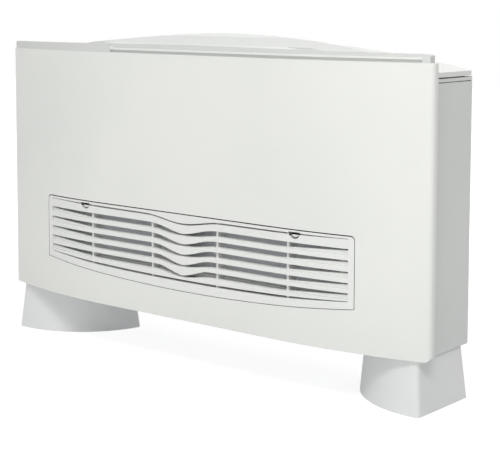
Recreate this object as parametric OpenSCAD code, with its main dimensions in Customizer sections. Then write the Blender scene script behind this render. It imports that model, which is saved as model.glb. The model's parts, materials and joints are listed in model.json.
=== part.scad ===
// Floor-standing fan coil unit: a bowed steel casing on two plastic feet, with a hinged intake grille,
// a vaulted plastic head with a pivoting outlet flap, and the coil, fans and electrics inside.
// Millimetres. Origin on the floor under the middle of the casing, front towards -Y.

/* [Casing] */
// Width of the bowed front panel
panel_w = 980; // [940:10:1200]
// Height of the front panel
panel_h = 472; // [466:2:520]
// Depth over all, from the middle of the bow to the wall
depth = 193; // [190:1:230]
// How far the middle of the front panel stands proud of its ends
bow = 40; // [32:1:46]
// Half length of the front panel's flat middle
flat_half = 200; // [160:5:240]
// Thickness of the casing's sheet steel
sheet = 1.5; // [1:0.1:2]
// Depth of the front panel's folded edges
fold_d = 12; // [10:1:13]
// Radius of the front panel's upright end corners
end_r = 8; // [5:1:9]
// Radius of the front panel's lower corners, seen from the front
corner_r = 11; // [6:1:16]
// How far each side stands in from the end of the front panel
side_inset = 20; // [16:1:26]
// Radius of the sides' rear upright edges
side_r = 6; // [4:1:9]
// Width of the sides' rear folds
side_fold = 14; // [12:1:20]
// Width of the open bay at each end of the casing
bay_w = 125; // [110:1:140]

/* [Feet] */
// Height of the feet
foot_h = 90; // [70:1:130]
// Radius of a foot's round front, seen from above
foot_r = 178; // [160:1:195]
// How much a foot spreads from its top to the floor
foot_flare = 8; // [3:1:10]
// Wall thickness of a foot
foot_wall = 4; // [3:0.5:6]
// Radius of the floor bolt holes
floor_hole_r = 4.5; // [3:0.5:6]

/* [Intake grille] */
// Width of the intake grille
grille_w = 724; // [680:4:760]
// Height of the grille's straight top edge above the panel's lower edge
grille_top = 190; // [184:1:200]
// Height of the grille at its middle
grille_h = 137; // [134:1:144]
// How much higher the grille's lower edge is at its ends
grille_sag = 19; // [12:1:24]
// Depth of the grille's slats
slat_d = 10; // [8:0.5:11]
// Distance between slot rows
slot_pitch = 18.6; // [17:0.1:19]
// Height of a slot
slot_h = 9.25; // [7:0.25:10]
// Depth of the dip in the middle of the slots
dip = 10; // [4:0.5:11]
// Clearance round the grille
grille_gap = 1; // [0.8:0.1:1.5]

/* [Head] */
// Height of the head's crest above the front panel
head_rise = 26; // [22:1:30]
// Radius of the head's vault
head_r = 2590; // [2400:10:3200]
// Height of the hood's crest above the front panel
hood_rise = 35.6; // [32:0.2:40]
// Radius of the hood's arch
hood_r = 1830; // [1750:10:2600]
// How far the sides end below the front panel's top
head_drop = 27; // [24:1:30]
// Open joint between the sides and the head
head_gap = 2; // [1.5:0.5:3]
// Wall thickness of the head
head_wall = 3; // [2:0.5:4]
// Width of the rail along the panel's top
rail_w = 13; // [13:0.5:15]
// Height of the rail's ends
rail_h = 13.6; // [12:0.2:16]
// Height of the outlet's lip, the low stretch of the rail
lip_h = 8.5; // [7:0.5:11]
// Length of the outlet flap
flap_l = 626; // [560:2:640]
// Depth of the outlet flap
flap_d = 84; // [76:1:88]
// Radius of the flap's pivot pins
pin_r = 2.5; // [2:0.1:3]

/* [Fans] */
// Radius of a fan wheel
wheel_r = 55; // [45:1:57]
// Number of blades on a fan wheel
blades = 30; // [20:1:40]
// Radius of the fan shaft
shaft_r = 6; // [4:0.5:7]
// Radius of the motor
motor_r = 44; // [36:1:48]
// Length of the motor
motor_l = 100; // [80:1:120]
// Height of the fan shaft above the casing's base
fan_z = 115; // [112:1:120]
// Height of the fan deck above the casing's base
deck_z = 215; // [210:1:220]
// Running clearance round the shaft and the pins
run_gap = 0.05; // [0.03:0.01:0.1]

/* [Coil] */
// Number of tubes in a row
tubes = 8; // [6:1:8]
// Radius of the coil's tubes
tube_r = 5; // [4:0.5:6]
// Lean of the coil from upright, in degrees
coil_lean = 32; // [28:1:36]
// Distance between the modelled fins
fin_pitch = 12; // [8:1:20]
// Radius of the water unions' bores
union_r = 9.3; // [8:0.1:10]
// Radius of the drain spigot
drain_r = 8; // [6:0.5:9]

/* [Hidden] */

paint = [0.91, 0.92, 0.89];
plastic = [0.88, 0.89, 0.87];
zinc = [0.66, 0.68, 0.70];
far = 2000;
touch = 0.3;

half_w = panel_w / 2;
y_front = -depth / 2;
y_rear = depth / 2;
y_edge = y_front + bow;
y_fold = y_edge + fold_d;
z0 = foot_h;
z1 = foot_h + panel_h;
end_run = half_w - flat_half;
arc_r = (end_run * end_run + bow * bow) / (2 * bow);
arc_y = y_front + arc_r;
side_x = half_w - side_inset;
side_top = z1 - head_drop;
gable_x = side_x - bay_w;
gable_in = gable_x - sheet;

// Front face of the panel at a distance x from the middle, set back by inset
function bow_y(x, inset = 0) =
    abs(x) <= flat_half ? y_front + inset
    : arc_y - sqrt(pow(arc_r - inset, 2) - pow(abs(x) - flat_half, 2));

// Plan of the bowed front: flat middle, an arc to each end and a rounded end corner
module shield(inset, y_back) {
    r = arc_r - inset;
    corner_x = half_w - end_r;
    corner_y = arc_y - sqrt(pow(arc_r - end_r, 2) - pow(end_run - end_r, 2));
    round_r = end_r - inset;
    rounded = round_r > 0;
    reach = rounded ? corner_x + round_r * (end_run - end_r) / (arc_r - end_r) : half_w - inset;
    intersection() {
        union() {
            intersection() {
                union() {
                    for (s = [-1, 1]) translate([s * flat_half, arc_y]) circle(r, $fn = 720);
                    translate([-flat_half, arc_y - r]) square([2 * flat_half, 2 * r]);
                }
                translate([-reach, y_front - 1]) square([2 * reach, y_back + 3 - y_front]);
            }
            if (rounded)
                for (s = [-1, 1]) {
                    translate([s * corner_x, corner_y]) circle(round_r, $fn = 96);
                    translate([s * (corner_x + round_r / 2) - round_r / 2, corner_y])
                        square([round_r, y_back + 4 * end_r - corner_y]);
                }
        }
        translate([-far, y_front - 5]) square([2 * far, y_back - y_front + 5]);
    }
}

// Strip of the bowed front between two insets
module bowed_strip(inset, inner, y_back) {
    difference() {
        shield(inset, y_back);
        shield(inner, y_back + far);
    }
}

// Turns a drawing of X and Z into a block that runs from y_a to y_b
module from_front(y_a, y_b) {
    translate([0, y_b, 0]) rotate([90, 0, 0]) linear_extrude(y_b - y_a) children();
}

// Turns a drawing of Y and Z into a block that runs from x_a to x_b
module from_side(x_a, x_b) {
    translate([x_a, 0, 0]) rotate([90, 0, 90]) linear_extrude(x_b - x_a) children();
}

module box(low, high) {
    translate(low) cube(high - low);
}

module rod_x(x_a, x_b, r, y, z) {
    translate([x_a, y, z]) rotate([0, 90, 0]) cylinder(h = x_b - x_a, r = r, $fn = 64);
}

// Casing

grille_low = z0 + grille_top - grille_h;
grille_high = z0 + grille_top;
grille_r = 7;
sag_r = (pow(grille_w / 2, 2) + grille_sag * grille_sag) / (2 * grille_sag);

module grille_outline(grow) {
    half = grille_w / 2 + grow;
    top = grille_high + 1.8 * grow;
    r = grille_r + grow;
    intersection() {
        translate([0, grille_low + sag_r]) circle(sag_r + grow, $fn = 1440);
        union() {
            translate([-half, 0]) square([2 * half, top - r]);
            translate([r - half, 0]) square([2 * (half - r), top]);
            for (s = [-1, 1]) translate([s * (half - r), top - r]) circle(r, $fn = 64);
        }
    }
}

module front_panel() {
    color(paint) difference() {
        union() {
            translate([0, 0, z0]) linear_extrude(panel_h) bowed_strip(0, sheet, y_fold);
            for (z = [z0, z1 - sheet])
                translate([0, 0, z]) linear_extrude(sheet) bowed_strip(sheet / 2, fold_d, y_fold);
        }
        from_front(y_front - 1, y_edge) grille_outline(grille_gap);
        from_front(y_front - 1, y_fold + 1)
            for (s = [0, 1]) mirror([s, 0])
                translate([half_w - corner_r, z0 + corner_r]) difference() {
                    translate([0, -corner_r - 1]) square(corner_r + 1);
                    circle(corner_r, $fn = 64);
                }
    }
}

side_front = bow_y(side_x, sheet) + touch;

module side_plan() {
    translate([side_x - sheet, side_front]) square([sheet, y_rear - side_r - side_front]);
    translate([side_x - fold_d, side_front]) square([fold_d, sheet]);
    translate([side_x - side_fold, y_rear - sheet]) square([side_fold - side_r, sheet]);
    intersection() {
        translate([side_x - side_r, y_rear - side_r]) difference() {
            circle(side_r, $fn = 64);
            circle(side_r - sheet, $fn = 64);
        }
        translate([side_x - side_r, y_rear - side_r]) square(side_r);
    }
}

groove_h = 1.2;
groove_d = sheet / 2;
groove_drop = 7;

module side_panel() {
    color(paint) difference() {
        union() {
            translate([0, 0, z0 + sheet]) linear_extrude(side_top - z0 - sheet) side_plan();
            box([side_x - sheet, bow_y(side_x, fold_d) + touch, z0], [side_x, y_rear - side_r, z0 + sheet]);
        }
        box([side_x - groove_d, side_front - 1, side_top - groove_drop],
            [side_x + 1, y_rear - side_r - 2, side_top - groove_drop + groove_h]);
    }
}

module side_right() { side_panel(); }
module side_left() { mirror([1, 0, 0]) side_panel(); }

rear_half = side_x - side_fold - 1;

module base_panel() {
    color(zinc) translate([0, 0, z0]) linear_extrude(sheet) intersection() {
        shield(fold_d + touch, far);
        union() {
            translate([-side_x + sheet, y_front])
                square([2 * (side_x - sheet), y_rear - side_r - touch - y_front]);
            translate([-rear_half, y_front]) square([2 * rear_half, depth]);
        }
    }
}

wall_hole_r = 4.5;
wall_hole_x = rear_half - 55;
wall_hole_low = z0 + 60;
wall_hole_high = side_top - 18;
bead_r = 5;
bead_rise = 35;
bead_drop = 60;
deck_low = z0 + deck_z;
pipe_low = deck_low - 25;
pipe_high = side_top - 35;
pipe_in = 22;
pipe_out = 18;

module rear_plate() {
    y_in = y_rear - sheet;
    bead_half = gable_in - 2 * bead_r;
    beads = [deck_low + bead_rise, side_top - bead_drop];
    color(zinc) difference() {
        union() {
            box([-rear_half, y_in, z0 + sheet], [rear_half, y_rear, side_top]);
            for (z = beads)
                intersection() {
                    rod_x(-bead_half, bead_half, bead_r + sheet, y_rear, z);
                    box([-far, -far, 0], [far, y_rear, far]);
                }
        }
        for (z = beads)
            rod_x(sheet - bead_half, bead_half - sheet, bead_r, y_rear, z);
        for (s = [0, 1]) mirror([s, 0, 0])
            box([gable_x + pipe_in, y_in - 1, pipe_low], [rear_half - pipe_out, y_rear + 1, pipe_high]);
        for (s = [-1, 1]) for (z = [wall_hole_low, wall_hole_high])
            translate([s * wall_hole_x, y_rear + 1, z]) rotate([90, 0, 0])
                cylinder(h = sheet + 2, r = wall_hole_r, $fn = 48);
    }
}

// Coil's place, shared by all that holds it

coil_rows = 2;
coil_gap = 4;
plate_edge = 4;
tray_h = 26;
vane_drop = 8;
vane_h = 9;
vane_high = side_top - vane_drop;
vane_low = vane_high - vane_h;
deck_top = deck_low + sheet;
coil_room = vane_low - deck_top - tray_h - coil_gap;
lean_rise = cos(coil_lean);
lean_run = sin(coil_lean);
// The tubes share out the height between the tray and the vanes
tube_pitch = (coil_room - 2 * plate_edge * (lean_rise + lean_run))
             / (tubes * lean_rise + coil_rows * lean_run);
coil_thick = coil_rows * tube_pitch;
coil_l = tubes * tube_pitch;
coil_y = -1;
coil_z = deck_top + tray_h + coil_gap + coil_room / 2;
coil_foot = [coil_thick, coil_l];

module at_coil() {
    translate([0, coil_y, coil_z]) rotate([-coil_lean, 0, 0]) children();
}

gable_y0 = bow_y(grille_w / 2, slat_d) + 2;
tray_wall = 2;
tray_y0 = gable_y0 + tray_wall;
tray_y1 = -8;
drain_y = (tray_y0 + tray_y1) / 2;
drain_z = deck_top + tray_wall + drain_r;
gable_flange = 18;
gable_top = side_top + head_gap;
head_flange = 26;
box_h = 120;
box_z0 = deck_top + tray_h - box_h;
cable_hole_r = 9;
cable_hole = [20, deck_low - 40];
coil_edge = 3;

module gable(drained) {
    color(zinc) difference() {
        union() {
            box([gable_in, gable_y0, z0 + sheet], [gable_x, y_rear - sheet, gable_top]);
            box([gable_in - head_flange, gable_y0, gable_top - sheet], [gable_x, y_rear - sheet, gable_top]);
            box([gable_in, gable_y0, z0 + sheet], [gable_x + gable_flange, y_rear - sheet, z0 + 2 * sheet]);
            box([gable_in, y_rear - 2 * sheet, z0 + sheet],
                [gable_x + gable_flange, y_rear - sheet, gable_top - head_gap - touch]);
        }
        at_coil() translate([gable_x, 0, 0])
            cube([gable_flange, coil_thick - 2 * coil_edge, coil_l - 2 * coil_edge], center = true);
        if (drained) rod_x(gable_in - 1, gable_x + 1, drain_r + 1, drain_y, drain_z);
        else rod_x(gable_in - 1, gable_x + 1, cable_hole_r, cable_hole[0], cable_hole[1]);
    }
}

module gable_right() { gable(false); }
module gable_left() { mirror([1, 0, 0]) gable(true); }

// Feet

foot_x = side_x + 5;
foot_mid = [side_x - 14, y_edge + foot_r - 9];
foot_back = y_rear - 8;
foot_edge_r = 8;

module foot_plan(inset) {
    offset(r = foot_edge_r) offset(delta = -foot_edge_r - inset) intersection() {
        translate(foot_mid) circle(foot_r, $fn = 96);
        translate([0, -far]) square([foot_x, far + foot_back]);
    }
}

module foot_loft(inset, z_low, z_high) {
    function flare_at(z) = foot_flare * z / foot_h;
    hull() {
        translate([0, 0, z_low]) linear_extrude(0.01) foot_plan(inset + flare_at(z_low));
        translate([0, 0, z_high - 0.01]) linear_extrude(0.01) foot_plan(inset + flare_at(z_high));
    }
}

foot_screw_x = [foot_mid[0] - 95, foot_mid[0] - 35];
foot_screw_y = foot_back - 45;
foot_screw_r = 2.5;
floor_hole_y = [y_edge + 12, foot_back - 14];
floor_hole_x = [foot_x - 20, foot_mid[0] - foot_r + 26];
floor_flange = 5;

module foot() {
    color(plastic) difference() {
        foot_loft(0, 0, foot_h);
        foot_loft(foot_wall, floor_flange, foot_h - foot_wall);
        linear_extrude(3 * floor_flange, center = true) foot_plan(32);
        box([foot_x - 120, foot_back - 12, floor_flange], [foot_x - 30, foot_back + 1, foot_h - 20]);
        for (x = foot_screw_x)
            translate([x, foot_screw_y, foot_h - foot_wall - 1])
                cylinder(h = foot_wall + 2, r = foot_screw_r + touch, $fn = 32);
        for (i = [0, 1])
            translate([floor_hole_x[i], floor_hole_y[i], -1])
                cylinder(h = floor_flange + 2, r = floor_hole_r, $fn = 48);
    }
}

module foot_right() { foot(); }
module foot_left() { mirror([1, 0, 0]) foot(); }

module foot_screws() {
    color("silver") for (s = [0, 1]) mirror([s, 0, 0]) for (x = foot_screw_x)
        translate([x, foot_screw_y, 0]) {
            translate([0, 0, foot_h - foot_wall - 2.5]) cylinder(h = 2.5, r = 2 * foot_screw_r, $fn = 32);
            translate([0, 0, foot_h - foot_wall - 1]) cylinder(h = foot_wall + 1, r = foot_screw_r, $fn = 32);
        }
}

// Intake grille

rows = 7;
slot_end = 11;
slot_half = grille_w / 2 - slot_end;
slot_steps = 24;
row_top = 7;
mouth_d = 4;
mouth_lip = 0.4;
catch_x = 248.5;
catch_r = 11.5;
catch_drop = 3;
rib_pitch = 155;
rib_w = 4;

// Middle line of a slot row: the ends rise more towards the last row, with a dip in the middle of all but it
function row_z(k, x) =
    let (span = 90 - 5 * k, near = min(1, abs(x) / span), off = abs(2 * k - rows + 2) / rows)
    grille_high - row_top - k * slot_pitch + 0.55 * grille_sag * pow(off, 5) * pow(x / slot_half, 2)
    - (k < rows - 1 ? dip * (0.5 + 0.5 * cos(180 * near)) : 0);

// Height of a row's mouth, pinched at the dip; the first and the last row are thin
function row_open(k, x) =
    k == 0 ? 0.3 * slot_h : k == rows - 1 ? 0.45 * slot_h : slot_h * min(1, 0.22 + abs(x) / 60);

// Height of the slot that goes right through, under the mouth's upper edge and thin at its ends
function row_gap(k, x) = row_open(k, x) * min(1, 0.28 + 1.9 * (1 - abs(x) / slot_half));

function slot_x(i) =
    let (u = i / slot_steps)
    slot_half * sign(u) * pow(abs(u), 1.7);

module row_shape(k, mouth) {
    function upper(x) = row_z(k, x) + row_open(k, x) / 2 + (mouth ? mouth_lip : 0);
    function lower(x) =
        row_z(k, x) + row_open(k, x) / 2 - (mouth ? row_open(k, x) + mouth_lip : row_gap(k, x));
    xs = [for (i = [-slot_steps:slot_steps]) slot_x(i)];
    polygon(concat([for (i = [0:2 * slot_steps]) [xs[i], upper(xs[i])]],
                   [for (i = [2 * slot_steps:-1:0]) [xs[i], lower(xs[i])]]));
}

filter_y0 = bow_y(slot_half, slat_d) + touch;
filter_d = 10;
filter_half = slot_half - 14;
filter_low = grille_low + grille_sag + 6;
filter_high = grille_high - 8;
tab_w = 30;
tab_h = 6;
tab_t = 3;
tab_back = sheet + 2.5;

module intake_grille() {
    y_back = y_front + slat_d + bow;
    color(plastic) difference() {
        union() {
            intersection() {
                translate([0, 0, grille_low - 1]) linear_extrude(grille_h + 2) bowed_strip(0, slat_d, y_edge);
                from_front(y_front - 1, y_edge) grille_outline(0);
            }
            for (i = [-1.5, -0.5, 0.5, 1.5])
                box([i * rib_pitch - rib_w / 2, bow_y(i * rib_pitch, slat_d) - 1, filter_low],
                    [i * rib_pitch + rib_w / 2, filter_y0 - touch, filter_high]);
            for (s = [-1, 1])
                box([s * flat_half * 0.8 - tab_w / 2, y_front + tab_back, grille_low - tab_h],
                    [s * flat_half * 0.8 + tab_w / 2, y_front + tab_back + tab_t, grille_low + 8]);
        }
        difference() {
            from_front(y_front - 1, y_edge) for (k = [0:rows - 1]) row_shape(k, false);
            for (i = [-1.5, -0.5, 0.5, 1.5])
                box([i * rib_pitch - rib_w / 2, bow_y(i * rib_pitch, mouth_d + 0.6), 0],
                    [i * rib_pitch + rib_w / 2, y_back, far]);
        }
        intersection() {
            translate([0, 0, grille_low]) linear_extrude(grille_h) bowed_strip(-0.5, mouth_d, y_edge);
            from_front(y_front - 2, y_edge) for (k = [1:rows - 2]) row_shape(k, true);
        }
        from_front(y_front - 1, y_edge) for (s = [-1, 1])
            translate([s * catch_x, grille_high - catch_drop]) intersection() {
                circle(catch_r, $fn = 64);
                translate([-far, -far]) square([2 * far, far]);
            }
    }
}

catch_travel = 2.5;
tongue_r = 10;
tongue_gap = 4.5;
tongue_in = 3;
tongue_rise = tongue_r - catch_r + catch_travel + touch;
catch_half = 12;

// Tongue that fills the lower part of its pocket, on a plate behind the grille
module catch() {
    y_plate = bow_y(catch_x + catch_half, slat_d) + touch;
    z_pocket = grille_high - catch_drop;
    color(plastic) {
        from_front(bow_y(catch_x, tongue_in), y_plate + 1) intersection() {
            translate([catch_x, z_pocket + tongue_rise]) circle(tongue_r, $fn = 64);
            translate([catch_x - tongue_r - 1, z_pocket - tongue_gap - 2 * tongue_r])
                square([2 * tongue_r + 2, 2 * tongue_r]);
        }
        box([catch_x - catch_half, y_plate, z_pocket - catch_r - 2],
            [catch_x + catch_half, y_plate + 2, z_pocket + catch_travel]);
    }
}

module catch_right() { catch(); }
module catch_left() { mirror([1, 0, 0]) catch(); }

frame_w = 8;
mesh_t = 1.2;
filter_y1 = filter_y0 + filter_d;

module filter_frame() {
    color([0.32, 0.34, 0.36]) difference() {
        box([-filter_half, filter_y0, filter_low], [filter_half, filter_y1, filter_high]);
        for (i = [-2:2]) {
            cell = rib_pitch - rib_w;
            low = max(i * rib_pitch - cell / 2, frame_w - filter_half);
            high = min(i * rib_pitch + cell / 2, filter_half - frame_w);
            box([low, filter_y0 - 1, filter_low + frame_w], [high, filter_y1 + 1, filter_high - frame_w]);
        }
        box([frame_w / 2 - filter_half, filter_y1 - mesh_t - 2, filter_low + frame_w / 2],
            [filter_half - frame_w / 2, filter_y1 - 2, filter_high - frame_w / 2]);
    }
}

module filter_mesh() {
    color([0.2, 0.21, 0.22])
        box([frame_w / 2 - filter_half, filter_y1 - mesh_t - 2, filter_low + frame_w / 2],
            [filter_half - frame_w / 2, filter_y1 - 2, filter_high - frame_w / 2]);
}

// Head

head_low = gable_top;
rail_inset = 1;
head_inset = rail_inset + rail_w + touch;
pivot_y = y_edge - 4 + flap_d / 2;
pivot_rise = 1.5;
flap_front_rise = 18;
flap_rear_rise = 29.5;
pin_wall = 3;
pivot_z = z1 + pivot_rise;
flap_y0 = pivot_y - flap_d / 2;
flap_y1 = pivot_y + flap_d / 2;
flap_front_z = z1 + flap_front_rise;
flap_rear_z = z1 + flap_rear_rise;
flap_sweep = norm([flap_d / 2, flap_rear_z - pivot_z]);
flap_side_gap = 3;
duct_half = flap_l / 2 + flap_side_gap;
duct_y0 = flap_y0 - 1.5;
duct_y1 = pivot_y + flap_sweep + 1;
hood_t = 6;
hood_lean = 0.85;
head_rear = y_rear - 3;

module arch(crest, r, half, low) {
    intersection() {
        translate([0, crest - r]) circle(r, $fn = 1440);
        translate([-half, low]) square([2 * half, far]);
    }
}

module head_plan(inset) {
    back = head_rear - inset;
    half = side_x - inset;
    r = side_r - inset;
    difference() {
        intersection() {
            shield(head_inset + inset, far);
            translate([-half, -far]) square([2 * half, far + back]);
        }
        for (s = [0, 1]) mirror([s, 0])
            translate([half - r, back - r]) difference() {
                square(r + 1);
                circle(r, $fn = 48);
            }
    }
}

// Outside of the head: a vault, sloped down to the lip in front of the flap
module head_form(inset) {
    slope = (flap_front_z - z1 - lip_h) / (duct_y0 - bow_y(0, head_inset));
    intersection() {
        from_front(-far, far) arch(z1 + head_rise - inset, head_r - inset, half_w, head_low);
        from_side(-far, far)
            polygon([[y_front, 0],
                     [y_front, flap_front_z - inset - slope * (duct_y0 - y_front)],
                     [duct_y0 + 1, flap_front_z - inset + slope], [duct_y0 + 1, far],
                     [y_rear, far], [y_rear, 0]]);
        linear_extrude(far) head_plan(inset);
    }
}

// Arched hood behind the flap, hollowed to the flap's sweep, its face leaning back above the flap's edge
module hood() {
    z_face = flap_rear_z - 0.5;
    y_face = pivot_y + sqrt(pow(flap_sweep + 1, 2) - pow(z_face - pivot_z, 2)) + touch;
    difference() {
        from_front(pivot_y, duct_y1 + hood_t) arch(z1 + hood_rise, hood_r, duct_half + 100, z1);
        rod_x(-far, far, flap_sweep + 1, pivot_y, pivot_z);
        from_side(-far, far)
            polygon([[pivot_y - 1, z_face], [y_face, z_face], [y_face + hood_lean * far, z_face + far],
                     [pivot_y - 1, z_face + far]]);
    }
}

module duct_plan(grow) {
    translate([-duct_half - grow, duct_y0 - grow])
        square([2 * (duct_half + grow), duct_y1 - duct_y0 + 2 * grow]);
}

module head_cover() {
    color(plastic) difference() {
        union() {
            difference() {
                union() {
                    difference() {
                        head_form(0);
                        translate([0, 0, -1]) head_form(head_wall);
                        intersection() {
                            linear_extrude(2 * head_low, center = true) head_plan(head_wall);
                            box([-far, -far, 0], [far, far, head_low + 1]);
                        }
                    }
                    intersection() {
                        head_form(0);
                        union() {
                            translate([0, 0, head_low]) linear_extrude(far) duct_plan(head_wall);
                            for (s = [-1, 1])
                                rod_x(s * (duct_half + 4) - 4, s * (duct_half + 4) + 4,
                                      pin_r + pin_wall, pivot_y, pivot_z);
                        }
                    }
                }
                linear_extrude(3 * far, center = true) duct_plan(0);
            }
            hood();
        }
        rod_x(-duct_half - 20, duct_half + 20, pin_r + run_gap, pivot_y, pivot_z);
    }
}

lip_x0 = -183;
lip_x1 = half_w - 17;
lip_r = 5;
rail_end = 7;
rail_end_r = 4;
rail_crown = 4.4;
lip_d = 6;
lip_t = 3;
lip_under = 4;

// Span of the rail with its upper corners rounded
module rail_ends() {
    top = z1 + rail_h + 0.2;
    translate([rail_end - half_w, z1 - 2]) square([2 * (half_w - rail_end), rail_h + 2.2 - rail_end_r]);
    translate([rail_end + rail_end_r - half_w, z1 - 2])
        square([2 * (half_w - rail_end - rail_end_r), rail_h + rail_crown + 4]);
    for (s = [-1, 1])
        translate([s * (half_w - rail_end - rail_end_r), top - rail_end_r]) circle(rail_end_r, $fn = 48);
}

// Crowned rail: its front is cut down to a low lip, which stands out over a band set back below it
module head_rail() {
    lip_w = lip_x1 - lip_x0;
    color(plastic) difference() {
        intersection() {
            translate([0, 0, z1]) linear_extrude(far) bowed_strip(rail_inset, rail_inset + rail_w, y_fold);
            from_front(-far, far) intersection() {
                polygon([[-half_w, z1 - 1], [half_w, z1 - 1], [half_w, z1 + rail_h],
                         [0, z1 + rail_h + rail_crown], [-half_w, z1 + rail_h]]);
                rail_ends();
            }
        }
        intersection() {
            translate([0, 0, z1]) linear_extrude(far)
                bowed_strip(rail_inset - 1.5, rail_inset + lip_d, y_fold + 4);
            from_front(-far, far) translate([lip_x0, z1 + lip_h]) {
                translate([lip_r, 0]) square([lip_w - 2 * lip_r, far / 2]);
                translate([0, lip_r]) square([lip_w, far / 2]);
                for (x = [lip_r, lip_w - lip_r]) translate([x, lip_r]) circle(lip_r, $fn = 48);
            }
        }
        intersection() {
            translate([0, 0, z1 - 2]) linear_extrude(far)
                bowed_strip(rail_inset - 1.5, rail_inset + lip_under, y_fold + 4);
            from_front(-far, far) translate([lip_x0 + lip_t, z1 - 1])
                square([lip_w - 2 * lip_t, 1 + lip_h - lip_t]);
        }
    }
}

flap_wall = 2.5;
flap_low = z1;
pin_bore = 8;

module flap_form(inset, low) {
    half = flap_l / 2 - inset;
    rise = (flap_rear_z - flap_front_z) / flap_d;
    y_far = pivot_y + flap_sweep;
    intersection() {
        from_front(-far, far) arch(z1 + hood_rise - inset, hood_r - inset, half, low);
        from_side(-half, half)
            polygon([[flap_y0 + inset, low], [flap_y0 + inset, flap_front_z - inset],
                     [y_far, flap_rear_z - inset + rise * (y_far - flap_y1)], [y_far, low]]);
        rod_x(-far, far, flap_sweep - inset, pivot_y, pivot_z);
    }
}

module outlet_flap() {
    color([0.84, 0.85, 0.83]) difference() {
        union() {
            difference() {
                flap_form(0, flap_low);
                flap_form(flap_wall, flap_low - 1);
            }
            for (s = [-1, 1])
                translate([s * (flap_l / 2 - pin_bore / 2), 0, 0])
                    rod_x(-pin_bore / 2, pin_bore / 2, pin_r + pin_wall, pivot_y, pivot_z);
        }
        rod_x(-far, far, pin_r + run_gap, pivot_y, pivot_z);
    }
}

module flap_pins() {
    color("silver") for (s = [0, 1]) mirror([s, 0, 0])
        rod_x(flap_l / 2 - pin_bore, duct_half + 6, pin_r, pivot_y, pivot_z);
}

vane_t = 2;
vane_pitch = 70;

module outlet_vanes() {
    count = floor((duct_half - 10) / vane_pitch);
    color(plastic) {
        difference() {
            box([-gable_in, duct_y0 - vane_t, vane_low], [gable_in, duct_y1 + vane_t, vane_high]);
            box([-gable_in + vane_t, duct_y0, vane_low - 1], [gable_in - vane_t, duct_y1, vane_high + 1]);
        }
        for (i = [-count:count])
            box([i * vane_pitch - vane_t / 2, duct_y0, vane_low],
                [i * vane_pitch + vane_t / 2, duct_y1, vane_high]);
    }
}

// Fans

fan_y = y_rear - sheet - wheel_r - 25;
axis_z = z0 + fan_z;
inlet_gap = 32;
scroll_wall = 1.5;
scroll_x0 = motor_l / 2 + inlet_gap;
scroll_x1 = gable_in - 62;
scroll_min = wheel_r + 6;
scroll_max = wheel_r + 20;
throat_y0 = fan_y + 10;
inlet_r = wheel_r - 8;

// Volute seen from the side: a spiral from the throat's rear wall round to its front wall
module scroll_plan(inset, top) {
    steps = 48;
    lip_y = throat_y0 - fan_y + inset;
    turn = 270 + asin(lip_y / (scroll_min - inset));
    function reach_at(a) = scroll_max - (scroll_max - scroll_min) * a / turn - inset;
    spiral = [for (i = [0:steps])
        let (a = turn * i / steps)
        [fan_y + reach_at(a) * cos(a), axis_z - reach_at(a) * sin(a)]];
    polygon(concat([[fan_y + scroll_max - inset, top]], spiral, [[fan_y + lip_y, top]]));
}

module scroll() {
    color([0.3, 0.31, 0.33]) {
        difference() {
            from_side(scroll_x0, scroll_x1) scroll_plan(0, deck_low);
            from_side(scroll_x0 + scroll_wall, scroll_x1 - scroll_wall)
                scroll_plan(scroll_wall, deck_low + 1);
            rod_x(scroll_x0 - 1, scroll_x1 + 1, inlet_r, fan_y, axis_z);
        }
    }
}

module scroll_right() { scroll(); }
module scroll_left() { mirror([1, 0, 0]) scroll(); }

wheel_gap = 5;
ring_w = 11;
ring_t = 3;
hub_r = 14;
blade_r = 9;

module blade_plan() {
    intersection() {
        difference() {
            circle(wheel_r - 0.5, $fn = 128);
            circle(wheel_r - ring_w + 0.5, $fn = 128);
        }
        for (i = [0:blades - 1]) rotate(360 * i / blades) translate([wheel_r - ring_w, 0])
            difference() {
                circle(blade_r, $fn = 48);
                translate([0.4, -1.1]) circle(blade_r, $fn = 48);
                translate([-2 * blade_r, -2 * blade_r]) square([2 * blade_r, 4 * blade_r]);
            }
    }
}

module wheel() {
    x0 = scroll_x0 + scroll_wall + wheel_gap;
    x1 = scroll_x1 - scroll_wall - wheel_gap;
    mid = (x0 + x1) / 2;
    color([0.15, 0.16, 0.17]) difference() {
        union() {
            from_side(x0, x1) translate([fan_y, axis_z]) blade_plan();
            for (x = [x0, x1 - ring_t])
                difference() {
                    rod_x(x, x + ring_t, wheel_r, fan_y, axis_z);
                    rod_x(x - 1, x + ring_t + 1, wheel_r - ring_w, fan_y, axis_z);
                }
            rod_x(mid - ring_t / 2, mid + ring_t / 2, wheel_r, fan_y, axis_z);
            rod_x(mid - 12, mid + 12, hub_r, fan_y, axis_z);
        }
        rod_x(x0 - 1, x1 + 1, shaft_r + run_gap, fan_y, axis_z);
    }
}

module wheel_right() { wheel(); }
module wheel_left() { mirror([1, 0, 0]) wheel(); }

bearing_x = scroll_x1 + 26;

module fan_shaft() {
    color("silver") rod_x(-bearing_x - 12, bearing_x + 12, shaft_r, fan_y, axis_z);
}

boss_r = 14;
boss_l = 14;
ring_r = 19;

module fan_motor() {
    color([0.55, 0.57, 0.6]) difference() {
        union() {
            rod_x(-motor_l / 2, motor_l / 2, motor_r - 4, fan_y, axis_z);
            for (x = [0.1 * motor_l - motor_l / 2, 0.04 * motor_l])
                rod_x(x, x + 0.36 * motor_l, motor_r, fan_y, axis_z);
            rod_x(-motor_l / 2 - boss_l, motor_l / 2 + boss_l, boss_r, fan_y, axis_z);
        }
        rod_x(-motor_l, motor_l, shaft_r + run_gap, fan_y, axis_z);
    }
}

bracket_x = motor_l / 2 + 6;
bracket_t = 2;
bracket_half = 30;

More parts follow.
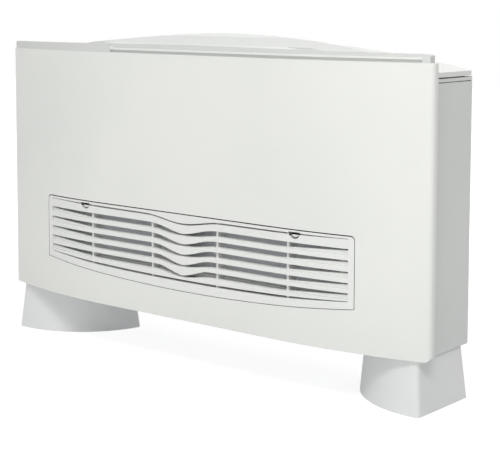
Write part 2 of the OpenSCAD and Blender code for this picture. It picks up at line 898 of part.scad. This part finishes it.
module motor_bracket() {
    color(zinc) difference() {
        union() {
            for (s = [-1, 1])
                box([s * bracket_x - bracket_t / 2, fan_y - bracket_half, axis_z - bracket_half],
                    [s * bracket_x + bracket_t / 2, fan_y + bracket_half, deck_low]);
            box([-bracket_x, fan_y - bracket_half, deck_low - bracket_t],
                [bracket_x, fan_y + bracket_half, deck_low]);
        }
        rod_x(-motor_l, motor_l, ring_r + touch / 3, fan_y, axis_z);
    }
}

module motor_rings() {
    color([0.12, 0.12, 0.13]) for (s = [-1, 1]) difference() {
        rod_x(s * bracket_x - 4, s * bracket_x + 4, ring_r, fan_y, axis_z);
        rod_x(s * bracket_x - 5, s * bracket_x + 5, boss_r + touch / 3, fan_y, axis_z);
    }
}

bush_r = 11;
bearing_half = 20;

module bearing_brackets() {
    color(zinc) for (s = [0, 1]) mirror([s, 0, 0]) difference() {
        union() {
            box([bearing_x - 1, fan_y - bearing_half, axis_z - bearing_half],
                [bearing_x + 1, fan_y + bearing_half, deck_low]);
            box([bearing_x - 1, fan_y - bearing_half, deck_low - 2],
                [bearing_x + bearing_half, fan_y + bearing_half, deck_low]);
        }
        rod_x(bearing_x - 5, bearing_x + 5, bush_r + touch / 3, fan_y, axis_z);
    }
}

module bearing_bushes() {
    color("goldenrod") for (s = [0, 1]) mirror([s, 0, 0]) difference() {
        rod_x(bearing_x - 5, bearing_x + 5, bush_r, fan_y, axis_z);
        rod_x(bearing_x - 6, bearing_x + 6, shaft_r + run_gap, fan_y, axis_z);
    }
}

module fan_deck() {
    color(zinc) difference() {
        box([-gable_in, gable_y0, deck_low], [gable_in, y_rear - sheet, deck_top]);
        for (s = [0, 1]) mirror([s, 0, 0])
            box([scroll_x0 + scroll_wall, throat_y0 + scroll_wall, deck_low - 1],
                [scroll_x1 - scroll_wall, fan_y + scroll_max - scroll_wall, deck_top + 1]);
    }
}

// Coil

plate_t = 1.5;
plate_x = gable_in - plate_t;
header_r = 9;
header_x = -gable_x - 24;
tube_fit = 0.1;

function tube_at(row, i) = [(row - 0.5) * tube_pitch, (i - (tubes - 1) / 2) * tube_pitch];

module tube_holes() {
    for (row = [0, 1]) for (i = [0:tubes - 1])
        translate(tube_at(row, i)) circle(tube_r + tube_fit, $fn = 32);
}

module coil_fins() {
    count = floor((plate_x - 4) / fin_pitch);
    color([0.8, 0.81, 0.82]) at_coil() for (i = [-count:count])
        from_side(i * fin_pitch - 0.25, i * fin_pitch + 0.25) difference() {
            square(coil_foot, center = true);
            tube_holes();
        }
}

module coil_end_plates() {
    color(zinc) at_coil() for (s = [-1, 1])
        from_side(s > 0 ? plate_x : -gable_in, s > 0 ? gable_in : -plate_x) difference() {
            square(coil_foot + 2 * [plate_edge, plate_edge], center = true);
            tube_holes();
        }
}

tube_wall = 0.7;

// A hairpin: two straight tubes and the bend that joins them, from end to end
module hairpin(i, r, start) {
    x_bend = gable_x + 8;
    for (row = [0, 1])
        rod_x(start, x_bend, r, tube_at(row, i)[0], tube_at(row, i)[1]);
    translate([x_bend, 0, tube_at(0, i)[1]]) rotate([0, 0, -90])
        rotate_extrude(angle = 180, $fn = 64) translate([tube_pitch / 2, 0]) circle(r, $fn = 32);
}

module coil_tubes() {
    start = header_x + header_r;
    color([0.72, 0.45, 0.3]) at_coil() for (i = [0:tubes - 1]) difference() {
        hairpin(i, tube_r, start);
        hairpin(i, tube_r - tube_wall, start - 1);
    }
}

header_half = coil_l / 2 + 6;

module header(row) {
    color([0.72, 0.45, 0.3]) at_coil()
        translate([header_x, tube_at(row, 0)[0], -header_half])
            cylinder(h = 2 * header_half, r = header_r, $fn = 48);
}

module header_supply() { header(0); }
module header_return() { header(1); }

union_depth = 20;
hex_r = 15;
elbow_r = 8;
elbow_bend = 14;
elbow_x = header_x - header_r - 20;
union_seat = elbow_bend + 5;
union_l = union_seat + union_depth;

// Place across the casing of a point on the leaning coil
function coil_point(p) = [coil_y + p[0] * lean_rise + p[1] * lean_run,
                          coil_z - p[0] * lean_run + p[1] * lean_rise];

module rod_y(y_a, y_b, r, x, z, sides = 64) {
    translate([x, y_a, z]) rotate([-90, 0, 0]) cylinder(h = y_b - y_a, r = r, $fn = sides);
}

// Pipe run that comes out of the coil's end and turns to the rear
module elbow_run(x_from, r, y, z, reach) {
    rod_x(elbow_x + elbow_bend, x_from, r, y, z);
    translate([elbow_x + elbow_bend, y + elbow_bend, z]) rotate([0, 0, 180])
        rotate_extrude(angle = 90, $fn = 64) translate([elbow_bend, 0]) circle(r, $fn = 48);
    rod_y(y + elbow_bend, y + reach, r, elbow_x, z);
}

// Elbow from a header, with its union turned to the pipe opening at the rear
module water_union(row, i) {
    y = coil_point(tube_at(row, i))[0];
    z = coil_point(tube_at(row, i))[1];
    color([0.78, 0.62, 0.3]) difference() {
        union() {
            elbow_run(header_x - header_r, elbow_r, y, z, union_seat - 2);
            rod_y(union_seat - 3 + y, y + union_l, hex_r, elbow_x, z, 6);
        }
        rod_y(y + union_seat, y + union_l + 1, union_r, elbow_x, z);
    }
}

module union_supply() { water_union(0, 0); }
module union_return() { water_union(1, tubes - 1); }

module air_vents() {
    color([0.78, 0.62, 0.3]) at_coil() for (row = [0, 1])
        translate([header_x, tube_at(row, 0)[0], header_half]) {
            cylinder(h = 8, r = 3.5, $fn = 32);
            translate([0, 0, 8]) cylinder(h = 5, r = 6, $fn = 6);
        }
}

drain_l = 40;

module drip_tray() {
    half = plate_x - 2;
    bore = drain_r - 1.5;
    color([0.2, 0.21, 0.22]) difference() {
        union() {
            box([-half, tray_y0, deck_top], [half, tray_y1, deck_top + tray_h]);
            elbow_run(1 - half, drain_r, drain_y, drain_z, elbow_bend + drain_l);
        }
        box([tray_wall - half, tray_y0 + tray_wall, deck_top + tray_wall],
            [half - tray_wall, tray_y1 - tray_wall, deck_top + tray_h + 1]);
        elbow_run(tray_wall + 1 - half, bore, drain_y, drain_z, elbow_bend + drain_l + 1);
    }
}

// Electrics, in the right-hand bay

box_d = 50;
box_y0 = -40;
box_y1 = 60;
box_wall = 1.5;
gland_z = box_z0 + box_h - 16;
gland_x = gable_x + box_d - 16;
gland_r = 9;

module terminal_box() {
    color(zinc) difference() {
        box([gable_x, box_y0, box_z0], [gable_x + box_d, box_y1, box_z0 + box_h]);
        box([gable_x + box_wall, box_y0 + box_wall, box_z0 + box_wall],
            [gable_x + box_d + 1, box_y1 - box_wall, box_z0 + box_h - box_wall]);
        rod_y(box_y1 - box_wall - 1, box_y1 + 1, gland_r + 0.1, gland_x, gland_z);
    }
}

module terminal_lid() {
    lid_x = gable_x + box_d;
    color(zinc) {
        box([lid_x, box_y0 - 1, box_z0 - 1], [lid_x + box_wall, box_y1 + 1, box_z0 + box_h + 1]);
        for (y = [box_y0 + 12, box_y1 - 12])
            rod_x(lid_x + box_wall, lid_x + box_wall + 2.5, 4, y, box_z0 + box_h / 2);
    }
}

module terminal_block() {
    ways = 6;
    way = 12;
    x0 = gable_x + box_wall;
    y0 = (box_y0 + box_y1 - ways * way) / 2;
    z_mid = box_z0 + box_h / 2;
    color([0.2, 0.2, 0.22]) difference() {
        box([x0, y0, z_mid - 14], [x0 + 20, y0 + ways * way, z_mid + 14]);
        for (i = [0:ways - 1]) {
            for (z = [z_mid - 7, z_mid + 7])
                rod_x(x0 + 8, x0 + 21, 3, y0 + (i + 0.5) * way, z);
            if (i > 0)
                box([x0 + 12, y0 + i * way - 0.6, z_mid - 15], [x0 + 21, y0 + i * way + 0.6, z_mid + 15]);
        }
    }
}

module cable_gland() {
    color([0.15, 0.15, 0.16]) difference() {
        union() {
            rod_y(box_y1, box_y1 + 10, gland_r + 4, gland_x, gland_z, 6);
            rod_y(box_y1 + 10, box_y1 + 20, gland_r + 1, gland_x, gland_z);
            rod_y(box_y1 - 12, box_y1, gland_r, gland_x, gland_z);
        }
        rod_y(box_y1 - 13, box_y1 + 21, gland_r - 4, gland_x, gland_z);
    }
}

module motor_capacitor() {
    cap_r = 17;
    color([0.85, 0.85, 0.86]) translate([gable_x + cap_r + touch, 20, z0 + 15]) {
        cylinder(h = 62, r = cap_r, $fn = 64);
        for (y = [-6, 6]) translate([0, y, 62]) cylinder(h = 8, r = 2.5, $fn = 24);
    }
}

front_panel();
side_left();
side_right();
base_panel();
rear_plate();
gable_left();
gable_right();
fan_deck();
foot_left();
foot_right();
foot_screws();
intake_grille();
catch_left();
catch_right();
filter_frame();
filter_mesh();
head_cover();
head_rail();
outlet_flap();
flap_pins();
outlet_vanes();
scroll_left();
scroll_right();
wheel_left();
wheel_right();
fan_shaft();
fan_motor();
motor_bracket();
motor_rings();
bearing_brackets();
bearing_bushes();
coil_fins();
coil_tubes();
coil_end_plates();
header_supply();
header_return();
union_supply();
union_return();
air_vents();
drip_tray();
terminal_box();
terminal_lid();
terminal_block();
cable_gland();
motor_capacitor();
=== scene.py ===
"""Looks of a floor-standing fan coil unit: painted casing, moulded head and feet, and the works inside."""
import json
import math

import bpy
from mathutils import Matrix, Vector

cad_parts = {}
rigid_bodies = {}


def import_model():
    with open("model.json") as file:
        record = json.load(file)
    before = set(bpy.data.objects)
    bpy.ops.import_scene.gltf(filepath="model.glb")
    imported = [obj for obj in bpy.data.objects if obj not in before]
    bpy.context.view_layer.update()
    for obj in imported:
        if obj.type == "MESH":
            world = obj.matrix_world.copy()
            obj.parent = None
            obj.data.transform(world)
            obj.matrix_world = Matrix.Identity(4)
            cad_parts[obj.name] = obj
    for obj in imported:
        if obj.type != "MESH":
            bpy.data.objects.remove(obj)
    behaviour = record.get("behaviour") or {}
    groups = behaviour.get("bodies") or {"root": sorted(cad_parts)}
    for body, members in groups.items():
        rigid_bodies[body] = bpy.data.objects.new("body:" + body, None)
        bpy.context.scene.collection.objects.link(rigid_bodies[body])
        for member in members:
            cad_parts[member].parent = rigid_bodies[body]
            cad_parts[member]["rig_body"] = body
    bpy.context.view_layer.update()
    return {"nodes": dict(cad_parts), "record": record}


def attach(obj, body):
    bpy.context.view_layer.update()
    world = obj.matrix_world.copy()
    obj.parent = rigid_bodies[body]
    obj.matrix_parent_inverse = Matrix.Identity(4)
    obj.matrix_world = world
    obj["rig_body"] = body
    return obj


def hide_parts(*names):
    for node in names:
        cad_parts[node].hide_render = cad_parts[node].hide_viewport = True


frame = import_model()
nodes = frame["nodes"]


# Selecting and dressing: lengths in metres, angles in degrees

MERGE_REACH = 2e-6
FLAT_ANGLE = 0.4
SHARP_ANGLE = 28
SMOOTH_ANGLE = 35
EDGE_SEGMENTS = 2
BROW_SEGMENTS = 4
FACE_WEIGHT = 80


def activate(obj):
    bpy.ops.object.select_all(action="DESELECT")
    obj.select_set(True)
    bpy.context.view_layer.objects.active = obj


def apply_modifier(obj, kind, **settings):
    activate(obj)
    modifier = obj.modifiers.new(kind.lower(), kind)
    for name, value in settings.items():
        setattr(modifier, name, value)
    bpy.ops.object.modifier_apply(modifier=modifier.name)


def corners(obj):
    """Lower and upper corner of a mesh that lies in the shared frame."""
    places = [vertex.co for vertex in obj.data.vertices]
    return tuple(Vector(pick(place[axis] for place in places) for axis in range(3)) for pick in (min, max))


def choose(obj, kind, wanted):
    """Select the edges or faces of a mesh that pass a test, and open it for editing."""
    activate(obj)
    bpy.ops.object.mode_set(mode="EDIT")
    bpy.ops.mesh.select_mode(type=kind)
    bpy.ops.mesh.select_all(action="DESELECT")
    bpy.ops.object.mode_set(mode="OBJECT")
    for item in obj.data.edges if kind == "EDGE" else obj.data.polygons:
        item.select = wanted(item)
    bpy.ops.object.mode_set(mode="EDIT")


def round_brows(obj, width):
    """Give the edges where a front face meets a top face the broad rounding that catches the light."""
    beside = {}
    for face in obj.data.polygons:
        for key in face.edge_keys:
            beside.setdefault(key, []).append(face)

    def brow(edge):
        faces = sorted(beside.get(edge.key, []), key=lambda face: face.normal.z)
        if len(faces) != 2:
            return False
        front, top = faces
        return front.normal.y < -0.6 and top.normal.z > 0.7 and front.center.z < top.center.z

    choose(obj, "EDGE", brow)
    bpy.ops.mesh.bevel(offset=width, segments=BROW_SEGMENTS, affect="EDGES", clamp_overlap=True)
    bpy.ops.object.mode_set(mode="OBJECT")


def dressed(node, edge, brow, cut):
    """A copy that stands for a node: triangles merged, divided at the cut if there is one, edges rounded."""
    obj = nodes[node].copy()
    obj.data = nodes[node].data.copy()
    obj.name = node + "_dressed"
    obj.parent = None
    for key in list(obj.keys()):
        del obj[key]
    bpy.context.scene.collection.objects.link(obj)
    activate(obj)
    bpy.ops.object.mode_set(mode="EDIT")
    bpy.ops.mesh.select_all(action="SELECT")
    bpy.ops.mesh.remove_doubles(threshold=MERGE_REACH)
    bpy.ops.mesh.dissolve_limited(angle_limit=math.radians(FLAT_ANGLE))
    if cut is not None:
        bpy.ops.mesh.select_all(action="SELECT")
        bpy.ops.mesh.bisect(plane_co=(cut, 0, 0), plane_no=(1, 0, 0))
    bpy.ops.object.mode_set(mode="OBJECT")
    if brow:
        round_brows(obj, brow)
    apply_modifier(obj, "BEVEL", width=edge, segments=EDGE_SEGMENTS, limit_method="ANGLE",
                   angle_limit=math.radians(SHARP_ANGLE), use_clamp_overlap=True, harden_normals=False)
    activate(obj)
    bpy.ops.object.shade_smooth_by_angle(angle=math.radians(SMOOTH_ANGLE))
    apply_modifier(obj, "WEIGHTED_NORMAL", mode="FACE_AREA", weight=FACE_WEIGHT, keep_sharp=True)
    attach(obj, nodes[node]["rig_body"])
    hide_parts(node)
    return obj


# Finishes


class Socket:
    """A shader value that takes part in plain arithmetic."""

    def __init__(self, finish, link):
        self.finish = finish
        self.link = link

    def _with(self, operation, other, swapped=False):
        pair = (other, self) if swapped else (self, other)
        return self.finish.node("ShaderNodeMath", {"operation": operation}, {0: pair[0], 1: pair[1]})

    def __add__(self, other):
        return self._with("ADD", other)

    def __radd__(self, other):
        return self._with("ADD", other, True)

    def __mul__(self, other):
        return self._with("MULTIPLY", other)

    def __rmul__(self, other):
        return self._with("MULTIPLY", other, True)


class Finish:
    """A node material with one generic way to add a node."""

    def __init__(self, name):
        self.material = bpy.data.materials.new(name)
        self.material.use_nodes = True
        self.tree = self.material.node_tree
        self.tree.nodes.clear()
        self.place = self.node("ShaderNodeTexCoord", output="Object")

    def node(self, kind, settings=None, inputs=None, output=0):
        node = self.tree.nodes.new(kind)
        for name, value in (settings or {}).items():
            setattr(node, name, value)
        for name, value in (inputs or {}).items():
            if isinstance(value, Socket):
                self.tree.links.new(value.link, node.inputs[name])
            else:
                node.inputs[name].default_value = value
        return Socket(self, node.outputs[output]) if node.outputs else None

    def noise(self, scale, detail, stretch=(1, 1, 1)):
        place = self.node("ShaderNodeMapping", None, {"Vector": self.place, "Scale": stretch})
        return self.node("ShaderNodeTexNoise", None, {"Vector": place, "Scale": scale, "Detail": detail})

    def height(self):
        return self.node("ShaderNodeSeparateXYZ", None, {"Vector": self.place}, "Z")

    def band(self, value, low, high, to_low=0.0, to_high=1.0):
        return self.node("ShaderNodeMapRange", {"interpolation_type": "SMOOTHSTEP"},
                         {"Value": value, "From Min": low, "From Max": high,
                          "To Min": to_low, "To Max": to_high})

    def mix(self, factor, first, second):
        def colour(c):
            return c if isinstance(c, Socket) else (*c, 1)
        return self.node("ShaderNodeMix", {"data_type": "RGBA"},
                         {"Factor": factor, 6: colour(first), 7: colour(second)}, 2)

    def bump(self, height, strength, distance):
        return self.node("ShaderNodeBump", None,
                         {"Height": height, "Strength": strength, "Distance": distance})

    def surface(self, **inputs):
        named = {key.replace("_", " "): value for key, value in inputs.items()}
        if not isinstance(named["Base Color"], Socket):
            named["Base Color"] = (*named["Base Color"], 1)
        shader = self.node("ShaderNodeBsdfPrincipled", None, named)
        self.node("ShaderNodeOutputMaterial", None, {"Surface": shader})
        return self.material


def powder_coat(name, colour, shade):
    """Sprayed and baked paint: a fine orange peel, faint clouding, and painted shade that darkens it low down,
    just above the feet.
    """
    f = Finish(name)
    cloud = f.noise(3.0, 4)
    peel = f.noise(700.0, 2)
    speck = f.noise(2600.0, 1)
    tint = f.mix(f.band(cloud, 0.35, 0.7), colour, shade)
    # Painted shade: below 0.16 m the paint darkens in noisy patches, fully from 0.09 m down, for the shade low
    # on the casing.
    low = f.band(f.height(), 0.09, 0.16, 0.14, 0.0) * f.noise(26.0, 5)
    tint = f.mix(low, tint, [c * 0.8 for c in shade])
    rough = 0.36 + 0.1 * cloud + 0.06 * speck
    return f.surface(Base_Color=tint, Roughness=rough, Normal=f.bump(peel + 0.4 * speck, 0.1, 0.0004))


def moulded(name, colour, shade, rough=0.42, grain=1500.0, depth=0.12):
    """Injection-moulded plastic: an even spark-eroded grain and slow changes of tone along the flow."""
    f = Finish(name)
    flow = f.noise(4.0, 3, (0.4, 1.5, 1.5))
    sand = f.noise(grain, 2)
    tint = f.mix(f.band(flow, 0.3, 0.75), colour, shade)
    return f.surface(Base_Color=tint, Roughness=rough + 0.08 * sand + 0.05 * flow,
                     Normal=f.bump(sand, depth, 0.0003))


def galvanised(name):
    """Zinc-dipped sheet: crystal spangles of uneven brightness."""
    f = Finish(name)
    spangle = f.node("ShaderNodeTexVoronoi", None,
                     {"Vector": f.place, "Scale": 90.0, "Randomness": 1.0}, "Color")
    tone = f.node("ShaderNodeSeparateColor", None, {"Color": spangle})
    streak = f.noise(18.0, 4, (1, 1, 6))
    tint = f.mix(tone, (0.47, 0.49, 0.51), (0.66, 0.68, 0.69))
    return f.surface(Base_Color=tint, Metallic=0.85, Roughness=0.36 + 0.2 * tone + 0.1 * streak,
                     Normal=f.bump(streak, 0.06, 0.0004))


def bare_metal(name, bright, dull, rough, stretch, grime=0.5):
    """Drawn, turned or rolled metal: fine lines along the work and a film of tarnish."""
    f = Finish(name)
    lines = f.noise(420.0, 3, stretch)
    film = f.noise(24.0, 5)
    tint = f.mix(f.band(film, 0.4, 0.75) * grime, bright, dull)
    return f.surface(Base_Color=tint, Metallic=1.0, Roughness=rough + 0.14 * lines + 0.1 * film,
                     Normal=f.bump(lines, 0.07, 0.0003))


def woven(name):
    """Filter net: a square weave of pale threads."""
    f = Finish(name)
    across = f.node("ShaderNodeTexWave", {"bands_direction": "X"}, {"Vector": f.place, "Scale": 160.0})
    along = f.node("ShaderNodeTexWave", {"bands_direction": "Z"}, {"Vector": f.place, "Scale": 160.0})
    thread = f.node("ShaderNodeMath", {"operation": "MAXIMUM"}, {0: across, 1: along})
    dust = f.noise(30.0, 4)
    tint = f.mix(thread, (0.42, 0.435, 0.46), (0.78, 0.80, 0.83))
    tint = f.mix(0.3 * dust, tint, (0.55, 0.56, 0.57))
    return f.surface(Base_Color=tint, Roughness=0.85, Normal=f.bump(thread, 0.6, 0.0006))


def rubbery(name):
    """Black rubber: a fine grain and a pale bloom in patches."""
    f = Finish(name)
    bloom = f.noise(60.0, 4)
    grain = f.noise(900.0, 2)
    tint = f.mix(bloom, (0.012, 0.012, 0.013), (0.05, 0.05, 0.052))
    return f.surface(Base_Color=tint, Roughness=0.7 + 0.2 * bloom, Normal=f.bump(grain, 0.2, 0.0003))


FINISH = {
    "paint_white": powder_coat("casing_paint", (0.795, 0.805, 0.770), (0.760, 0.775, 0.745)),
    "plastic_white": moulded("head_plastic", (0.790, 0.800, 0.775), (0.755, 0.768, 0.748)),
    "plastic_rail": moulded("rail_plastic", (0.660, 0.670, 0.650), (0.630, 0.642, 0.625)),
    "plastic_flap": moulded("flap_plastic", (0.690, 0.700, 0.685), (0.655, 0.668, 0.655), 0.38),
    "plastic_foot": moulded("foot_plastic", (0.768, 0.780, 0.772), (0.735, 0.748, 0.742), 0.46),
    "zinc_sheet": galvanised("zinc_sheet"),
    "steel": bare_metal("bright_steel", (0.62, 0.62, 0.63), (0.36, 0.35, 0.34), 0.24, (0.2, 1, 1)),
    "fin_aluminium": bare_metal("fin_stock", (0.80, 0.81, 0.82), (0.55, 0.56, 0.57), 0.28, (1, 1, 0.2)),
    "copper": bare_metal("drawn_copper", (0.72, 0.33, 0.19), (0.30, 0.13, 0.08), 0.26, (0.15, 1, 1), 0.8),
    "brass_fitting": bare_metal("turned_brass", (0.72, 0.53, 0.22), (0.38, 0.25, 0.09), 0.25, (1, 0.2, 0.2)),
    "black_plastic": moulded("black_plastic", (0.018, 0.018, 0.020), (0.030, 0.030, 0.032), 0.5, 1200.0, 0.2),
    "grey_plastic": moulded("grey_plastic", (0.075, 0.080, 0.087), (0.095, 0.100, 0.106), 0.5, 1200.0, 0.2),
    "motor_grey": powder_coat("motor_enamel", (0.215, 0.232, 0.258), (0.185, 0.198, 0.220)),
    "rubber_ring": rubbery("rubber_ring"),
    "filter_weave": woven("filter_net"),
}
SLOT_OF = {entry["node"]: entry["material_slot"] for entry in frame["record"]["subparts"]}


def finish_piece(obj, slot):
    obj.data.materials.clear()
    obj.data.materials.append(FINISH[slot])


for name, obj in nodes.items():
    obj.data.materials.clear()
    obj.data.materials.append(FINISH[SLOT_OF[name]])

# Pieces seen from outside: node, rounding of its edges, broader rounding of the edges between front and top
ROUNDING = [
    ("front_panel", 0.0003, 0), ("side_left", 0.00025, 0), ("side_right", 0.00025, 0),
    ("intake_grille", 0.0007, 0), ("catch_left", 0.0005, 0), ("catch_right", 0.0005, 0),
    ("head_cover", 0.0008, 0.002), ("head_rail", 0.0008, 0.0022), ("outlet_flap", 0.0009, 0),
    ("foot_left", 0.001, 0), ("foot_right", 0.001, 0), ("rear_plate", 0.0004, 0),
]

# The rail's lip lies between these heights over the rail's foot, and the rail is divided where the lip starts
LIP_OVER_FOOT = (0.0050, 0.0092)
rail_foot = corners(nodes["head_rail"])[0].z
lip_low, lip_high = (rail_foot + rise for rise in LIP_OVER_FOOT)
rail_places = [vertex.co for vertex in nodes["head_rail"].data.vertices]
lip_start = min(place.x for place in rail_places if lip_low < place.z < lip_high)

DRESSED = {}
for name, edge, brow in ROUNDING:
    DRESSED[name] = dressed(name, edge, brow, lip_start if name == "head_rail" else None)
    finish_piece(DRESSED[name], SLOT_OF[name])


def second_finish(obj, finish, wanted):
    """Give the faces of a piece that pass a test another finish."""
    obj.data.materials.append(finish)
    choose(obj, "FACE", wanted)
    obj.active_material_index = len(obj.data.materials) - 1
    bpy.ops.object.material_slot_assign()
    bpy.ops.object.mode_set(mode="OBJECT")


# Painted shade: black rubber put on the faces of gaps and grooves to darken them; no seal lies there.
GAP_SHADE = rubbery("painted_gap_shade")
# Painted shade: the casing paint made greyer for the side sheets, for the shade they stand in.
SHADED_SIDE_PAINT = powder_coat("side_paint_shaded", (0.690, 0.708, 0.690), (0.660, 0.680, 0.664))
SKIN = 0.0002
JOINT_DEPTH = 0.002
GROOVE_REACH = 0.012


def paint_side_shade(name):
    """Give a side sheet painted shade: the casing paint made greyer than on the panel, and black on the faces
    along its top and in its groove.
    """
    low, high = corners(nodes[name])
    outer = max(abs(low.x), abs(high.x))

    def in_joint(face):
        on_top = face.normal.z > 0.7 and face.center.z > high.z - JOINT_DEPTH
        sunk = outer - JOINT_DEPTH < abs(face.center.x) < outer - SKIN
        in_groove = sunk and high.z - GROOVE_REACH < face.center.z < high.z - JOINT_DEPTH
        return on_top or in_groove

    DRESSED[name].data.materials.clear()
    DRESSED[name].data.materials.append(SHADED_SIDE_PAINT)
    second_finish(DRESSED[name], GAP_SHADE, in_joint)


RIM_REACH = 0.004
CORNER_REACH = 0.0075


def shade_window_gap():
    """Painted shade: black on the cut edge of the panel's window and on the rim of the grille that stands in
    it, for the shade in the gap.
    """
    grille_low, grille_high = corners(nodes["intake_grille"])

    def on_window_edge(face):
        inside = all(low - RIM_REACH < c < high + RIM_REACH
                     for low, c, high in zip(grille_low, face.center, grille_high))
        return inside and abs(face.normal.y) < 0.5

    def on_grille_rim(face):
        from_end = grille_high.x - abs(face.center.x)
        from_top = grille_high.z - face.center.z
        outward = face.normal.x * math.copysign(1, face.center.x)
        at_end = from_end < RIM_REACH and outward > 0.5
        at_top = from_top < RIM_REACH and face.normal.z > 0.5
        at_corner = max(from_end, from_top) < CORNER_REACH and outward + face.normal.z > 0.5
        return abs(face.normal.y) < 0.5 and (at_end or at_top or at_corner)

    second_finish(DRESSED["front_panel"], GAP_SHADE, on_window_edge)
    second_finish(DRESSED["intake_grille"], GAP_SHADE, on_grille_rim)


TONGUE_DEPTH = 0.0035
POCKET_REACH = 0.013
POCKET_LEAD = 0.002


def paint_pocket_shade(name):
    """Leave a catch's tongue light; make its slide black, a guessed dark part that also paints the gap's
    shade, and paint shade in black on the walls of its pocket in the grille.
    """
    low, high = corners(nodes[name])
    middle = (low + high) / 2

    def behind_tongue(face):
        return face.center.y > low.y + TONGUE_DEPTH

    def on_pocket_wall(face):
        sunk = face.center.y > low.y - POCKET_LEAD and abs(face.normal.y) < 0.6
        return sunk and math.hypot(face.center.x - middle.x, face.center.z - high.z) < POCKET_REACH

    second_finish(DRESSED[name], FINISH["black_plastic"], behind_tongue)
    second_finish(DRESSED["intake_grille"], FINISH["black_plastic"], on_pocket_wall)


def paint_lip_highlight():
    """Painted highlight: give the head rail's lip the lighter plastic of the head, for the light its rounded
    edge catches.
    """
    rail = DRESSED["head_rail"]

    def on_lip(face):
        return all(lip_low < rail.data.vertices[corner].co.z < lip_high for corner in face.vertices)

    second_finish(rail, FINISH["plastic_white"], on_lip)


paint_side_shade("side_left")
paint_side_shade("side_right")
shade_window_gap()
paint_pocket_shade("catch_left")
paint_pocket_shade("catch_right")
paint_lip_highlight()


# Floor, light and camera

FLOOR_SIZE = 14
FLOOR_DROP = 0.0002
SHADE_NEAR, SHADE_FAR = 0.7, 1.5


def studio_floor(shade_share, glow):
    """A floor that reads white to the camera and in reflections, and still takes the unit's soft shadow."""
    f = Finish("floor_white")
    away = f.node("ShaderNodeVectorMath", {"operation": "LENGTH"}, {0: f.place}, "Value")
    lit = f.band(away, SHADE_NEAR, SHADE_FAR, glow, 1.0)
    path = {kind: f.node("ShaderNodeLightPath", None, None, kind)
            for kind in ("Is Camera Ray", "Is Glossy Ray", "Is Transmission Ray")}
    direct = path["Is Camera Ray"] + path["Is Glossy Ray"] + path["Is Transmission Ray"]
    matt = f.node("ShaderNodeBsdfDiffuse", None, {"Color": (0.88, 0.88, 0.88, 1)})
    thin = f.node("ShaderNodeBsdfDiffuse", None, {"Color": (shade_share, shade_share, shade_share, 1)})
    shine = f.node("ShaderNodeEmission", None, {"Color": lit, "Strength": 1.0})
    white = f.node("ShaderNodeAddShader", None, {0: thin, 1: shine})
    shown = f.node("ShaderNodeMixShader", None, {0: direct, 1: matt, 2: white})
    f.node("ShaderNodeOutputMaterial", None, {"Surface": shown})
    return f.material


bpy.ops.mesh.primitive_plane_add(size=FLOOR_SIZE, location=(0, 0, -FLOOR_DROP))
floor = bpy.context.object
floor.name = "floor"
floor.data.materials.append(studio_floor(0.34, 0.80))


def softbox(name, place, aim, size, watts):
    bpy.ops.object.light_add(type="AREA", location=place)
    lamp = bpy.context.object
    lamp.name = name
    lamp.data.shape = "RECTANGLE"
    lamp.data.size, lamp.data.size_y = size
    lamp.data.energy = watts
    lamp.rotation_euler = (Vector(aim) - Vector(place)).to_track_quat("-Z", "Y").to_euler()


CASING = (0, 0, 0.3)
softbox("key", (1.9, -2.0, 3.0), CASING, (0.9, 0.7), 48)
softbox("front", (0.5, -2.4, 3.0), CASING, (2.0, 1.6), 19)
softbox("low", (0.9, -3.4, 1.0), CASING, (2.4, 1.6), 23)
softbox("left", (-2.2, -2.2, 2.6), CASING, (2.0, 1.6), 10)
softbox("top", (0.4, 0.2, 3.2), CASING, (3.0, 2.0), 27)
softbox("rear", (0.5, 3.0, 2.0), CASING, (2.4, 1.6), 28)


def studio_world(ambient, shown_white):
    """An even sky: dim in the light it gives, white to the camera, in reflections and through clear pieces."""
    world = bpy.data.worlds.new("studio")
    bpy.context.scene.world = world
    world.use_nodes = True
    tree = world.node_tree
    tree.nodes.clear()
    path = tree.nodes.new("ShaderNodeLightPath")
    either = tree.nodes.new("ShaderNodeMixShader")
    out = tree.nodes.new("ShaderNodeOutputWorld")
    for place, strength in ((1, ambient), (2, shown_white)):
        glow = tree.nodes.new("ShaderNodeBackground")
        glow.inputs["Color"].default_value = (1, 1, 1, 1)
        glow.inputs["Strength"].default_value = strength
        tree.links.new(glow.outputs[0], either.inputs[place])
    shown = path.outputs["Is Camera Ray"]
    for kind in ("Is Glossy Ray", "Is Transmission Ray"):
        joined = tree.nodes.new("ShaderNodeMath")
        joined.operation = "MAXIMUM"
        tree.links.new(shown, joined.inputs[0])
        tree.links.new(path.outputs[kind], joined.inputs[1])
        shown = joined.outputs[0]
    tree.links.new(shown, either.inputs["Fac"])
    tree.links.new(either.outputs[0], out.inputs["Surface"])


studio_world(0.21, 1.0)

# The photo's view: place, tilt, roll and heading, and the lens, as fitted to the unit's outline
CAMERA_PLACE = (1.59138, -1.83855, 0.66031)
CAMERA_DIP, CAMERA_ROLL, CAMERA_HEADING = 0.0933, -0.0027, 0.69
CAMERA_LENS = 97.03
CAMERA_SHIFT = -0.2

bpy.ops.object.camera_add(location=CAMERA_PLACE)
camera = bpy.context.object
camera.name = "photo_view"
camera.data.sensor_width = 36.0
camera.data.lens = CAMERA_LENS
camera.data.shift_y = CAMERA_SHIFT
camera.data.clip_end = 50
camera.rotation_euler = (math.radians(90) - CAMERA_DIP, CAMERA_ROLL, CAMERA_HEADING)
bpy.context.scene.camera = camera
bpy.context.scene.view_settings.view_transform = "Standard"
bpy.context.scene.view_settings.look = "None"
